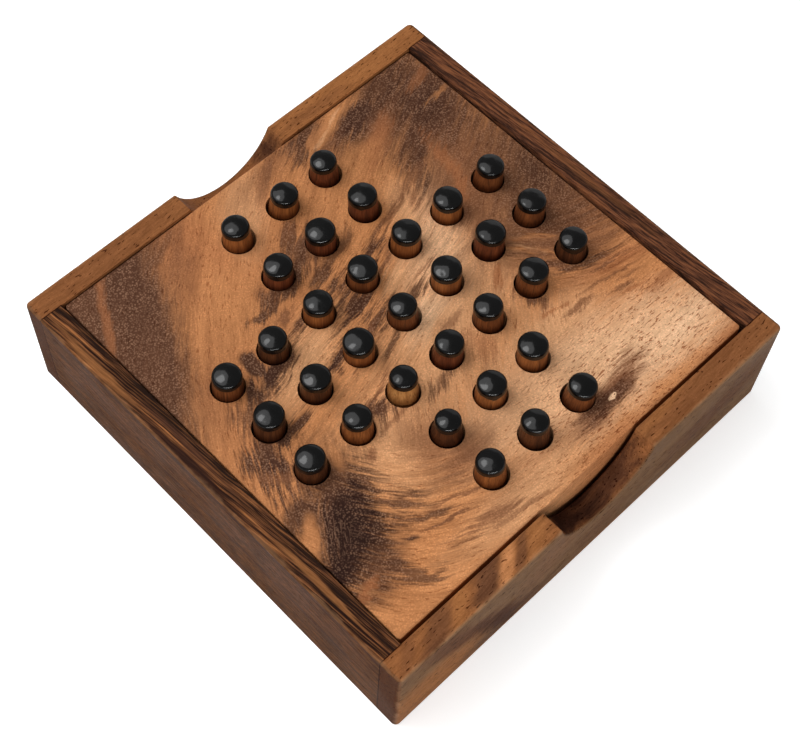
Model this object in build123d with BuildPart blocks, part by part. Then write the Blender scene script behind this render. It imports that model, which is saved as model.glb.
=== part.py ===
"""A wooden peg solitaire set for travel, in millimetres.

A square box frame of four butted rails holds a loose playing board that lies
flush with its rim. The board has 33 blind holes in a cross, each with a peg
whose head was dipped in black lacquer. Two thumb notches let the board be
lifted out, and the tray under it keeps the pegs.

+Z is up, +Y runs from the front rail to the back rail, and the origin is the
middle of the underside.
"""

import os
from math import atan2, cos, radians, sin

from build123d import *

os.makedirs("parts", exist_ok=True)

# Frame
box_length = 120.0
box_width = 120.0
rail_thickness = 5.8
corner_radius = 1.3
rim_ease = 0.6
foot_ease = 0.5

# Thumb notches in the front and back rails
notch_width = 29.0
front_notch_depth = 12.0
back_notch_depth = 9.4
notch_offset = 2.0
notch_ease = 0.35

# Heights inside the frame, from the table up
bottom_thickness = 4.0
tray_depth = 10.2
board_thickness = 15.0
board_recess = 0.8

# Strips that carry the board
ledge_width = 5.0

# Playing board. It lies loose, pushed back by a share of its gap.
board_gap = 0.6
board_push_share = 0.6
board_corner_radius = 0.8
board_ease = 0.3
holes_across = 7
arm_holes = 3
grid_margin = 13.1
hole_diameter = 8.0
hole_floor = 5.0

# Pegs. The play is how much wider a hole is than its peg.
peg_play = 0.9
peg_taper = 0.4
peg_stand = 6.5
dome_height = 1.25
shoulder_radius = 0.8
foot_chamfer = 0.4
seat_gap = 0.05
play_limit = 0.86

# How each peg leans in its hole: the share of the play that it takes up, and
# its heading in degrees from +X towards +Y. Columns a to g run towards +X and
# rows 1 to 7 towards +Y, so d4 is the middle hole.
leans = {
    "c7": (0.7, 140),
    "d7": (0.8, -60),
    "e7": (0.6, 145),
    "c6": (0.7, -120),
    "d6": (0.75, 180),
    "e6": (0.95, 115),
    "a5": (0.35, -115),
    "b5": (0.35, -160),
    "c5": (0.3, 180),
    "d5": (0.45, -150),
    "e5": (0.35, 30),
    "f5": (0.2, 80),
    "g5": (0.5, -10),
    "a4": (0.3, 20),
    "b4": (0.2, 25),
    "c4": (0.9, 170),
    "d4": (0.8, 160),
    "e4": (0.55, 120),
    "f4": (0.9, 35),
    "g4": (0.5, 15),
    "a3": (0.4, 150),
    "b3": (0.6, 80),
    "c3": (1.0, 55),
    "d3": (0.45, -5),
    "e3": (0.95, 115),
    "f3": (0.7, 30),
    "g3": (0.55, -165),
    "c2": (0.2, 55),
    "d2": (0.25, 175),
    "e2": (0.7, 115),
    "c1": (1.0, 117),
    "d1": (1.0, 90),
    "e1": (0.7, -46),
}

# Sizes that follow from the values above
ledge_top = bottom_thickness + tray_depth
board_top = ledge_top + board_thickness
frame_height = board_top + board_recess
inner_length = box_length - 2 * rail_thickness
inner_width = box_width - 2 * rail_thickness
board_length = inner_length - 2 * board_gap
board_width = inner_width - 2 * board_gap
board_shift = board_push_share * board_gap
pitch_x = (board_length - 2 * grid_margin) / (holes_across - 1)
pitch_y = (board_width - 2 * grid_margin) / (holes_across - 1)
hole_depth = board_thickness - hole_floor
peg_diameter = hole_diameter - peg_play
peg_head_diameter = peg_diameter - peg_taper
peg_length = hole_depth + peg_stand


def save(piece, name):
    """Names a finished piece and writes it to its own file."""
    piece.label = name
    export_step(piece, f"parts/{name}.step")
    print(f"{name}: {piece.volume:.1f} mm3")


def notched_rail(side, notch_depth):
    """A full length rail with a thumb notch. Side is -1 at the front and 1 at the back."""
    outward = Axis((0, 0, 0), (0, side, 0))
    notch_middle = -side * notch_offset
    notch_left = (notch_middle - notch_width / 2, frame_height)
    notch_right = (notch_middle + notch_width / 2, frame_height)
    with BuildPart() as rail:
        with BuildSketch(Plane.XY):
            with Locations((0, side * (box_width - rail_thickness) / 2)):
                Rectangle(box_length, rail_thickness)
        extrude(amount=frame_height)
        corners = rail.faces().sort_by(outward)[-1].edges().filter_by(Axis.Z)
        fillet(corners, radius=corner_radius)
        inner_edges = rail.faces().sort_by(outward)[0].edges()
        fillet(rail.faces().sort_by(Axis.Z)[0].edges() - inner_edges, radius=foot_ease)
        inner_edges = rail.faces().sort_by(outward)[0].edges()
        fillet(rail.faces().sort_by(Axis.Z)[-1].edges() - inner_edges, radius=rim_ease)
        with BuildSketch(Plane.XZ):
            with BuildLine():
                ThreePointArc(notch_left, (notch_middle, frame_height - notch_depth), notch_right)
                Line(notch_right, notch_left)
            make_face()
        extrude(amount=-side * box_width / 2, mode=Mode.SUBTRACT)
        notch_wall = rail.faces().filter_by(GeomType.CYLINDER).sort_by(SortBy.AREA)[-1]
        fillet(notch_wall.edges(), radius=notch_ease)
    return rail


def plain_rail(side):
    """A rail between the two notched ones. Side is -1 on the left and 1 on the right."""
    outward = Axis((0, 0, 0), (side, 0, 0))
    with BuildPart() as rail:
        with BuildSketch(Plane.XY):
            with Locations((side * (box_length - rail_thickness) / 2, 0)):
                Rectangle(rail_thickness, inner_width)
        extrude(amount=frame_height)
        outer_face = rail.faces().sort_by(outward)[-1]
        fillet(outer_face.edges().sort_by(Axis.Z)[0], radius=foot_ease)
        outer_face = rail.faces().sort_by(outward)[-1]
        fillet(outer_face.edges().sort_by(Axis.Z)[-1], radius=rim_ease)
    return rail


def ledge(side):
    """A strip glued along a plain rail. Side is -1 on the left and 1 on the right."""
    with BuildPart() as strip:
        with BuildSketch(Plane.XY.offset(bottom_thickness)):
            with Locations((side * (inner_length - ledge_width) / 2, 0)):
                Rectangle(ledge_width, inner_width)
        extrude(amount=tray_depth)
    return strip


def in_cross(column, row):
    """Whether the cross of holes covers this place of the grid."""
    arm_start = (holes_across - arm_holes) // 2
    arm = range(arm_start, arm_start + arm_holes)
    return column in arm or row in arm


def place_name(column, row):
    """The name of a place on the grid, counted from 0, such as d4 for 3, 3."""
    return f"{chr(ord('a') + column)}{row + 1}"


def hole_centre(column, row):
    """Where a hole stands, seen from above."""
    middle = (holes_across - 1) / 2
    return ((column - middle) * pitch_x, board_shift + (row - middle) * pitch_y)


def foot_plane(column, row):
    """The plane under a leaning peg: its origin is the foot's centre, its Z the peg's axis."""
    share, heading = leans.get(place_name(column, row), (0, 0))
    sideways = play_limit * share * peg_play / 2
    tilt = atan2(2 * sideways, hole_depth)
    lean_way = Vector(cos(radians(heading)), sin(radians(heading)), 0)
    foot_rise = peg_diameter / 2 * sin(tilt) + seat_gap
    hole_x, hole_y = hole_centre(column, row)
    hole_bottom = Vector(hole_x, hole_y, board_top - hole_depth)
    foot = hole_bottom - lean_way * sideways + Vector(0, 0, foot_rise)
    axis_way = lean_way * sin(tilt) + Vector(0, 0, cos(tilt))
    across = lean_way * cos(tilt) - Vector(0, 0, sin(tilt))
    return Plane(origin=foot, x_dir=across, z_dir=axis_way)


def peg(foot):
    """A turned peg with a straight shank, a slightly tapered head and a domed top."""
    shank = peg_diameter / 2
    head = peg_head_diameter / 2
    dome_start = peg_length - dome_height
    dome_radius = (head**2 + dome_height**2) / (2 * dome_height)
    axis = Axis(foot.origin, foot.z_dir)
    side_view = Plane(origin=foot.origin, x_dir=foot.x_dir, z_dir=-foot.y_dir)
    with BuildPart() as turned:
        with BuildSketch(side_view):
            with BuildLine():
                Polyline(
                    (0, peg_length),
                    (0, 0),
                    (shank - foot_chamfer, 0),
                    (shank, foot_chamfer),
                    (shank, hole_depth),
                    (head, dome_start),
                )
                RadiusArc((head, dome_start), (0, peg_length), -dome_radius)
            make_face()
        revolve(axis=axis)
        rings = turned.edges().filter_by(lambda edge: edge.is_closed)
        fillet(rings.sort_by(axis)[-1], radius=shoulder_radius)
    return turned


# Frame. The notched rails run the whole length, so their end grain shows at
# the corners. They are one pattern turned end for end, so their notches sit
# off the middle on opposite sides.
front_rail = notched_rail(-1, front_notch_depth)
save(front_rail.part, "front_rail")
back_rail = notched_rail(1, back_notch_depth)
save(back_rail.part, "back_rail")
left_rail = plain_rail(-1)
save(left_rail.part, "left_rail")
right_rail = plain_rail(1)
save(right_rail.part, "right_rail")

# Tray. The bottom is glued in flush with the rails' underside, and a strip
# along each plain rail carries the board over the space for the pegs.
with BuildPart() as bottom_panel:
    with BuildSketch(Plane.XY):
        Rectangle(inner_length, inner_width)
    extrude(amount=bottom_thickness)
save(bottom_panel.part, "bottom_panel")
left_ledge = ledge(-1)
save(left_ledge.part, "left_ledge")
right_ledge = ledge(1)
save(right_ledge.part, "right_ledge")

# Playing board. It lies loose on the ledges, with its holes bored from the top.
places = []
for row in range(holes_across):
    for column in range(holes_across):
        if in_cross(column, row):
            places.append((column, row))

with BuildPart() as peg_board:
    with BuildSketch(Plane.XY.offset(ledge_top)):
        with Locations((0, board_shift)):
            Rectangle(board_length, board_width)
    extrude(amount=board_thickness)
    fillet(peg_board.edges().filter_by(Axis.Z), radius=board_corner_radius)
    fillet(peg_board.faces().sort_by(Axis.Z)[-1].edges(), radius=board_ease)
    fillet(peg_board.faces().sort_by(Axis.Z)[0].edges(), radius=board_ease)
    with BuildSketch(Plane.XY.offset(board_top)):
        with Locations(*[hole_centre(column, row) for column, row in places]):
            Circle(hole_diameter / 2)
    extrude(amount=-hole_depth, mode=Mode.SUBTRACT)
save(peg_board.part, "peg_board")

# Pegs. Each stands loose in its hole, with the low side of its foot down.
for column, row in places:
    leaning_peg = peg(foot_plane(column, row))
    save(leaning_peg.part, f"peg_{place_name(column, row)}")

print(f"Frame height {frame_height:.1f}, hole pitch {pitch_x:.2f} by {pitch_y:.2f}")
print(f"Pegs {peg_diameter:.1f} thick and {peg_length:.1f} long")
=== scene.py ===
# %% [markdown]
# # A wooden peg solitaire set
# This file dresses a box of four rails, a loose playing board and 33 pegs with
# lacquered heads. Its shapes were drawn in a CAD program, and they are loaded
# here as a fixed frame. Each step first says what a piece or a finish is on
# the real object, how it could be made, and why one way was chosen.

# %% Load the CAD model
import math
import random

import bpy
from mathutils import Matrix, Vector
from mathutils import noise as perlin


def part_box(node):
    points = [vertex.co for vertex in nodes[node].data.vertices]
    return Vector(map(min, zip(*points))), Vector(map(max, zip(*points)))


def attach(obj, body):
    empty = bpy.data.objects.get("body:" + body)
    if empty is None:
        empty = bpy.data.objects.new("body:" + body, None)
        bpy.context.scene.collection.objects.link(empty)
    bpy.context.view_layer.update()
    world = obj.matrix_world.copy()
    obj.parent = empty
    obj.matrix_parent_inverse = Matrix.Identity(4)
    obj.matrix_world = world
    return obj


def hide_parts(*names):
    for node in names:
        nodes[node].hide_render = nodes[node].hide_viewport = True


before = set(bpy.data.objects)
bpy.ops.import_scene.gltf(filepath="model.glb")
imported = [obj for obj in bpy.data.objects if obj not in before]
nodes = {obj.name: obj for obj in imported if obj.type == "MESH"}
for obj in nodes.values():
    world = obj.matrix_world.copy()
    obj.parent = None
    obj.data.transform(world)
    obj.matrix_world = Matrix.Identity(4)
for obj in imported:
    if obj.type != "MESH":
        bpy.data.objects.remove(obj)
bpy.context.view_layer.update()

MM = 0.001
print("CAD nodes:", len(nodes))

# %% [markdown]
# ## Camera
# The photograph looks down on one corner of the box from quite near, so its
# far corner is clearly smaller than its near one. A camera could be tracked to
# an empty, but a matrix keeps the small roll of a hand-held shot. Its place was
# worked out from the box's corners in the photograph.

# %% Place the camera
IMAGE_WIDTH = 800
FOCAL_PIXELS = 1612.76
AIM_POINT = Vector((1.447, 1.828, 0)) * MM
CAMERA_HEADING = math.radians(-47.748)
CAMERA_HEIGHT = math.radians(61.218)
CAMERA_ROLL = math.radians(4.079)
CAMERA_DISTANCE = 387.545 * MM

back = Vector((
    math.sin(CAMERA_HEADING) * math.cos(CAMERA_HEIGHT),
    -math.cos(CAMERA_HEADING) * math.cos(CAMERA_HEIGHT),
    math.sin(CAMERA_HEIGHT),
))
level_right = Vector((math.cos(CAMERA_HEADING), math.sin(CAMERA_HEADING), 0))
level_up = back.cross(level_right)
right = level_right * math.cos(CAMERA_ROLL) + level_up * math.sin(CAMERA_ROLL)
up = level_up * math.cos(CAMERA_ROLL) - level_right * math.sin(CAMERA_ROLL)

camera_data = bpy.data.cameras.new("camera")
camera_data.sensor_width = 36
camera_data.lens = FOCAL_PIXELS / IMAGE_WIDTH * camera_data.sensor_width
camera_data.clip_start = 0.01
camera = bpy.data.objects.new("camera", camera_data)
bpy.context.scene.collection.objects.link(camera)
turn = Matrix((right, up, back)).transposed().to_4x4()
camera.matrix_world = Matrix.Translation(AIM_POINT + back * CAMERA_DISTANCE) @ turn
bpy.context.scene.camera = camera
print("Lens:", round(camera_data.lens, 2), "mm")

# %% [markdown]
# ## Making materials
# Every finish here is a tree of nodes. A tree is easier to read when a node is
# added, set and wired in one line, so these helpers do that. An input that is
# given a socket is wired to it, and any other value is typed into it.

# %% Helpers for node trees
def put(tree, kind, inputs=None, **options):
    """Adds a node, sets its options, and wires or fills its inputs."""
    made = tree.nodes.new(kind)
    for name, value in options.items():
        setattr(made, name, value)
    for key, value in (inputs or {}).items():
        if isinstance(value, bpy.types.NodeSocket):
            tree.links.new(value, made.inputs[key])
        else:
            made.inputs[key].default_value = value
    return made


def reckon(tree, operation, a, b=0.0, c=0.0):
    """One sum of a Math node."""
    return put(tree, "ShaderNodeMath", {0: a, 1: b, 2: c}, operation=operation).outputs[0]


def fade(tree, value, start, end, low=0.0, high=1.0):
    """A smooth step from low to high as the value goes from start to end.

    A smooth step stays within its ends by itself. The node's own clamp would add a
    hidden node to each of the board's many strokes.
    """
    inputs = {"Value": value, "From Min": start, "From Max": end, "To Min": low, "To Max": high}
    options = {"interpolation_type": "SMOOTHSTEP", "clamp": False}
    return put(tree, "ShaderNodeMapRange", inputs, **options).outputs[0]


def blend(tree, share, a, b, way="MIX"):
    """Mixes colour b into colour a."""
    inputs = {"Factor": share, "A": a, "B": b}
    made = put(tree, "ShaderNodeMix", data_type="RGBA", blend_type=way)
    sockets = {"Factor": made.inputs[0], "A": made.inputs[6], "B": made.inputs[7]}
    for key, value in inputs.items():
        if isinstance(value, bpy.types.NodeSocket):
            tree.links.new(value, sockets[key])
        else:
            sockets[key].default_value = value
    return made.outputs[2]


def darken(tree, colour, share, shade):
    """Multiplies a colour by a shade, where the share says so."""
    return blend(tree, share, colour, shade, "MULTIPLY")


def vary(tree, colour, pattern, low, high, share=1.0):
    """Multiplies a colour by a low shade where a pattern is 0 and by a high one where it is 1."""
    return darken(tree, colour, share, blend(tree, pattern, (*low, 1), (*high, 1)))


def tone(red, green, blue):
    """A colour as a paint chart gives it, from 0 to 255, made linear for the shader."""
    linear = []
    for part in (red, green, blue):
        share = part / 255
        linear.append(share / 12.92 if share < 0.04045 else ((share + 0.055) / 1.055) ** 2.4)
    return (*linear, 1.0)


print("Middle grey, made linear:", round(tone(128, 128, 128)[0], 3))

# %% [markdown]
# ## Floor, world and lamps
# The box was photographed on white. A white floor catches a soft shadow, and a
# world that is white only to the camera does the rest, so no light is wasted
# on the object. Far out the floor turns as white as the world, so that a low
# view shows no horizon. A backdrop that curves up would do as well, but it
# would hide the box from behind. One wide softbox with a brighter middle hangs
# high over the far left and gives the broad sheen on the pegs. A low, narrow
# strip lamp near the camera gives the bright line along the lower edge of each
# peg's head, and a weak fill reaches the sides that the photograph doesn't show.

# %% Floor and world
FLOOR_SIZE = 3.0
FLOOR_DROP = 0.0001
FLOOR_COLOUR = (0.86, 0.86, 0.86, 1)
FLOOR_LIFT = 0.5
SHADOW_REACH = 0.2
WHITE_FROM = 0.7
WHITE = (1, 1, 1, 1)
WORLD_LEVEL = 0.24

bpy.ops.object.select_all(action="DESELECT")
bpy.ops.mesh.primitive_plane_add(size=FLOOR_SIZE, location=(0, 0, -FLOOR_DROP))
floor = bpy.context.object
floor.name = "floor"
paper = bpy.data.materials.new("white_paper")
paper.use_nodes = True
paper.node_tree.nodes.clear()
light_path = put(paper.node_tree, "ShaderNodeLightPath")
matte = put(paper.node_tree, "ShaderNodeBsdfDiffuse", {"Color": FLOOR_COLOUR})
floor_place = put(paper.node_tree, "ShaderNodeTexCoord").outputs["Object"]
far_out = put(paper.node_tree, "ShaderNodeVectorMath", {0: floor_place}, operation="LENGTH")
whiter = fade(paper.node_tree, far_out.outputs["Value"], SHADOW_REACH, WHITE_FROM, FLOOR_LIFT, 1.0)
lift = reckon(paper.node_tree, "MULTIPLY", light_path.outputs["Is Camera Ray"], whiter)
glow = put(paper.node_tree, "ShaderNodeEmission", {"Color": WHITE, "Strength": lift})
both = put(paper.node_tree, "ShaderNodeAddShader", {0: matte.outputs[0], 1: glow.outputs[0]})
put(paper.node_tree, "ShaderNodeOutputMaterial", {"Surface": both.outputs[0]})
floor.data.materials.append(paper)

world = bpy.data.worlds.new("studio")
bpy.context.scene.world = world
world.use_nodes = True
world.node_tree.nodes.clear()
world_path = put(world.node_tree, "ShaderNodeLightPath")
seen = world_path.outputs["Is Camera Ray"]
level = fade(world.node_tree, seen, 0.0, 1.0, WORLD_LEVEL, 1.0)
air = put(world.node_tree, "ShaderNodeBackground", {"Color": WHITE, "Strength": level})
put(world.node_tree, "ShaderNodeOutputWorld", {"Surface": air.outputs[0]})
print("World level:", WORLD_LEVEL)

# %% Lamps
def lamp(name, way, distance, width, height, power):
    """A soft round or oval lamp that looks at the board from one way, unseen by the camera."""
    data = bpy.data.lights.new(name, "AREA")
    data.shape = "ELLIPSE"
    data.size = width
    data.size_y = height
    data.energy = power
    made = bpy.data.objects.new(name, data)
    bpy.context.scene.collection.objects.link(made)
    from_board = Vector(way).normalized()
    spin = from_board.to_track_quat("Z", "Y").to_matrix().to_4x4()
    made.matrix_world = Matrix.Translation(from_board * distance) @ spin
    made.visible_camera = False
    return made


HIGH_FAR_LEFT = (-0.254, 0.371, 0.893)
LOW_RIGHT = (0.90, 0.36, 0.20)
NEAR_LEFT = (-0.53, -0.76, 0.38)
lamp("softbox", HIGH_FAR_LEFT, distance=0.92, width=1.05, height=1.05, power=5.1)
lamp("softbox_bulb", HIGH_FAR_LEFT, distance=0.90, width=0.36, height=0.36, power=1.8)
lamp("far_fill", LOW_RIGHT, distance=1.25, width=1.6, height=0.8, power=1.6)
lamp("near_lamp", NEAR_LEFT, distance=0.9, width=0.95, height=0.05, power=4.1)
bpy.context.scene.view_settings.view_transform = "Standard"
print("Lamps:", len(bpy.data.lights))

# %% [markdown]
# ## What wood is made of
# The box is a showy tropical wood. A plain board of it shows streaks some
# millimetres wide, fine fibres, a coarser ripple and short dark pores. They run
# with the grain, so they are made from noise that is stretched along it. Because
# the stretch is worked out in all three directions, a sawn end shows dots and
# not lines, as end grain does. Over them lie small pale dots, where the light
# catches cut cells. These crowd in some places and don't run with the grain, so
# they come from a cell pattern that isn't stretched. An image of wood would look
# the same on every side.

# %% The grain groups
def new_group(name, takes, gives):
    """A node group with named inputs and outputs."""
    tree = bpy.data.node_groups.new(name, "ShaderNodeTree")
    for label, kind, value in takes:
        socket = tree.interface.new_socket(label, in_out="INPUT", socket_type=f"NodeSocket{kind}")
        socket.default_value = value
    for label, kind in gives:
        tree.interface.new_socket(label, in_out="OUTPUT", socket_type=f"NodeSocket{kind}")
    inside = tree.nodes.new("NodeGroupInput")
    outside = tree.nodes.new("NodeGroupOutput")
    return tree, inside.outputs, outside.inputs


def use(tree, group, inputs=None):
    """Places a node group in a tree and returns its outputs."""
    return put(tree, "ShaderNodeGroup", inputs, node_tree=group).outputs


def noise(tree, place, stretch, detail=2.0, rough=0.5):
    """Noise from 0 to 1, with its cells per millimetre given along each axis."""
    scaled = put(tree, "ShaderNodeVectorMath", {0: place, 1: stretch}, operation="MULTIPLY")
    inputs = {"Vector": scaled.outputs[0], "Scale": 1.0, "Detail": detail, "Roughness": rough}
    return put(tree, "ShaderNodeTexNoise", inputs).outputs["Fac"]


flow, takes, gives = new_group(
    "grain_flow",
    [("Place", "Vector", (0, 0, 0)), ("Middle", "Vector", (0, 0, 0)),
     ("Heading", "Float", 0.0), ("Bend", "Float", 0.0)],
    [("Flow", "Vector")],
)
heading = put(flow, "ShaderNodeCombineXYZ", {"Z": takes["Heading"]}).outputs[0]
turned = put(flow, "ShaderNodeMapping", {
    "Vector": takes["Place"], "Location": takes["Middle"], "Rotation": heading,
}, vector_type="TEXTURE")
parts = put(flow, "ShaderNodeSeparateXYZ", {0: turned.outputs[0]}).outputs
square = reckon(flow, "MULTIPLY", parts["X"], parts["X"])
bow = reckon(flow, "MULTIPLY", square, takes["Bend"])
across = reckon(flow, "SUBTRACT", parts["Y"], bow)
straight = put(flow, "ShaderNodeCombineXYZ", {"X": parts["X"], "Y": across, "Z": parts["Z"]})
flow.links.new(straight.outputs[0], gives["Flow"])

grain, takes, gives = new_group(
    "wood_grain",
    [("Flow", "Vector", (0, 0, 0))],
    [("Streaks", "Float"), ("Fibres", "Float"), ("Pores", "Float"), ("Ripple", "Float")],
)
streaks = noise(grain, takes["Flow"], (0.06, 0.55, 0.40), detail=3.0, rough=0.6)
fibres = noise(grain, takes["Flow"], (0.30, 2.6, 2.2), detail=2.0, rough=0.6)
pore_cells = noise(grain, takes["Flow"], (0.62, 3.0, 3.0), detail=1.0)
ripple = noise(grain, takes["Flow"], (0.17, 1.35, 0.8), detail=2.0, rough=0.6)
grain.links.new(fade(grain, streaks, 0.25, 0.75), gives["Streaks"])
grain.links.new(fade(grain, fibres, 0.25, 0.75), gives["Fibres"])
grain.links.new(fade(grain, pore_cells, 0.63, 0.72), gives["Pores"])
grain.links.new(fade(grain, ripple, 0.30, 0.70), gives["Ripple"])

dots, takes, gives = new_group(
    "wood_dots",
    [("Place", "Vector", (0, 0, 0)), ("Scale", "Float", 2.1)],
    [("Dots", "Float")],
)
cells = put(dots, "ShaderNodeTexVoronoi", {"Vector": takes["Place"], "Scale": takes["Scale"]})
crowded = noise(dots, takes["Place"], (0.4, 0.4, 0.4), detail=1.0)
each = fade(dots, cells.outputs["Distance"], 0.60, 0.20)
strength = fade(dots, crowded, 0.35, 0.62, 0.45, 1.0)
dots.links.new(reckon(dots, "MULTIPLY", each, strength), gives["Dots"])
print("Grain groups:", [group.name for group in bpy.data.node_groups])

# %% [markdown]
# ## Brush strokes
# The dark figure of this board isn't regular, so no noise alone gives it. It
# is painted instead, as a restorer matches a filled board: a base colour, then
# one soft stroke after another. Each stroke is an ellipsoid in the wood, with
# a middle, a heading and a reach in millimetres, and an edge that the grain
# frays. Because a stroke is solid, it also shows on a side or in a cut.
# Strokes of one paint that follow each other are laid as one layer, so that
# they don't build up where they cross. Headings are rounded to ten degrees, so
# that strokes can share a turned frame and the picture renders faster. Nobody
# sees the rounding in frayed edges.
# A few strokes lay painted shade instead of figure, and are marked where they stand.

# %% The stroke group
patch, takes, gives = new_group(
    "soft_patch",
    [("Place", "Vector", (0, 0, 0)), ("Scale", "Vector", (1, 1, 1)), ("Shift", "Vector", (0, 0, 0)),
     ("Fray", "Float", 0.0), ("Tatter", "Float", 0.5),
     ("Outer", "Float", 1.4), ("Inner", "Float", 0.6), ("Strength", "Float", 1.0)],
    [("Cover", "Float")],
)
local = put(patch, "ShaderNodeVectorMath", {
    0: takes["Place"], 1: takes["Scale"], 2: takes["Shift"],
}, operation="MULTIPLY_ADD").outputs[0]
far = put(patch, "ShaderNodeVectorMath", {0: local}, operation="LENGTH").outputs["Value"]
frayed = reckon(patch, "MULTIPLY_ADD", takes["Fray"], takes["Tatter"], far)
covered = fade(patch, frayed, takes["Outer"], takes["Inner"], 0.0, takes["Strength"])
patch.links.new(covered, gives["Cover"])

# Paints, from the palest wood to the darkest
PALE = tone(244, 202, 163)
TAN = tone(216, 163, 119)
HONEY = tone(195, 133, 86)
RUSSET = tone(166, 106, 68)
CHESTNUT = tone(130, 85, 58)
UMBER = tone(96, 63, 45)
COCOA = tone(74, 47, 35)
EBONY = tone(48, 28, 22)

# How soft a stroke's edge is, and how much the grain frays it
MISTY = (0.85, 0.4)
EVEN = (0.21, 0.06)
SOFT = (0.55, 0.5)
FIRM = (0.25, 0.25)
RAGGED = (0.55, 1.1)

TURN_STEP = 10


def cover(tree, place, middle, turn, reach, edge, fray=0.0, strength=1.0):
    """How far a soft ellipsoid covers a place that is given in a frame turned as it is."""
    heading = math.radians(turn)
    x, y, z = middle
    turned_middle = (x * math.cos(heading) + y * math.sin(heading),
                     y * math.cos(heading) - x * math.sin(heading), z)
    scale = [1 / size for size in reach]
    shift = [-at * share for at, share in zip(turned_middle, scale)]
    softness, tatter = edge
    return use(tree, patch, {
        "Place": place, "Scale": scale, "Shift": shift, "Fray": fray, "Tatter": tatter,
        "Outer": 1 + softness, "Inner": 1 - softness, "Strength": strength,
    })[0]


def turned_place(tree, place, turn):
    """The same place in a frame that is turned round Z, in degrees."""
    inputs = {"Vector": place, "Angle": -math.radians(turn)}
    return put(tree, "ShaderNodeVectorRotate", inputs, rotation_type="Z_AXIS").outputs[0]


def paint(tree, under, place, fray, strokes, height=0.0, depth=90.0):
    """Lays flat strokes in turn, and those of one paint that follow each other as one layer.

    A stroke is its x, y, heading, half length, half width, paint, edge and strength.
    """
    frames = {}
    layer, layer_paint = 0.0, None
    for x, y, heading, length, width, colour, edge, strength in strokes:
        turn = TURN_STEP * round(heading / TURN_STEP)
        if turn not in frames:
            frames[turn] = turned_place(tree, place, turn)
        share = cover(tree, frames[turn], (x, y, height), turn, (length, width, depth),
                      edge, fray, strength)
        if colour == layer_paint:
            layer = reckon(tree, "MAXIMUM", layer, share)
        else:
            if layer_paint is not None:
                under = blend(tree, layer, under, layer_paint)
            layer, layer_paint = share, colour
    return blend(tree, layer, under, layer_paint)


print("Groups in all:", len(bpy.data.node_groups))

# %% [markdown]
# ## The playing board
# The board is cut across a fork of the tree, where the grain turns. It is dark
# brown along its left corner, honey coloured beside it, streaked in the middle
# and pale on the right. In the near corner the grain swirls round the fork.
# One flow can't turn in so many ways, so six flows are made, and soft masks
# choose between them.

# %% Helpers for woods
def wood_coordinates(tree):
    """Object coordinates in millimetres, so that the grain stays in the wood."""
    corner = put(tree, "ShaderNodeTexCoord")
    scaled = put(tree, "ShaderNodeVectorMath", {0: corner.outputs["Object"], "Scale": 1 / MM},
                 operation="SCALE")
    return scaled.outputs[0]


def wander(tree, place, size, cells, detail=2.0):
    """Moves each place a little to and fro, so that no edge is a clean curve."""
    drift_x = noise(tree, place, (cells, cells, cells * 0.5), detail)
    drift_y = noise(tree, place, (-cells, cells * 1.1, cells * 0.4), detail)
    drift = put(tree, "ShaderNodeCombineXYZ", {"X": drift_x, "Y": drift_y, "Z": 0.5}).outputs[0]
    centred = put(tree, "ShaderNodeVectorMath", {0: drift, 1: (0.5, 0.5, 0.5)}, operation="SUBTRACT")
    moved = put(tree, "ShaderNodeVectorMath", {
        0: centred.outputs[0], 1: (size * 1.3, size * 1.3, 0), 2: place,
    }, operation="MULTIPLY_ADD")
    return moved.outputs[0]


def mix_numbers(tree, share, a, b):
    """Mixes number b into number a."""
    return put(tree, "ShaderNodeMix", {0: share, 2: a, 3: b}, data_type="FLOAT").outputs[0]


def new_material(name):
    """An empty material with a shader and an output."""
    made = bpy.data.materials.new(name)
    made.use_nodes = True
    made.node_tree.nodes.clear()
    shader = put(made.node_tree, "ShaderNodeBsdfPrincipled")
    put(made.node_tree, "ShaderNodeOutputMaterial", {"Surface": shader.outputs[0]})
    return made, made.node_tree, shader


FIBRE_RELIEF = 0.08 * MM


def satin(tree, shader, worn, threads, specular):
    """Oiled wood: a satin sheen that smears, dull pores, and fibres that stand up a little."""
    place = wood_coordinates(tree)
    smears = fade(tree, noise(tree, place, (0.06, 0.06, 0.06), detail=3.0), 0.3, 0.7, 0.42, 0.56)
    rubbed = reckon(tree, "MULTIPLY_ADD", worn, -0.12, smears)
    rough = reckon(tree, "MULTIPLY_ADD", threads["Pores"], 0.2, rubbed)
    tree.links.new(rough, shader.inputs["Roughness"])
    shader.inputs["Specular IOR Level"].default_value = specular
    sunk = reckon(tree, "MULTIPLY", threads["Pores"], -1.0)
    relief = reckon(tree, "MULTIPLY_ADD", threads["Fibres"], 0.4, sunk)
    bump = put(tree, "ShaderNodeBump", {"Strength": 0.5, "Distance": FIBRE_RELIEF, "Height": relief})
    tree.links.new(bump.outputs[0], shader.inputs["Normal"])


print("Fibres stand up by", round(FIBRE_RELIEF / MM, 2), "mm")

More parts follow.
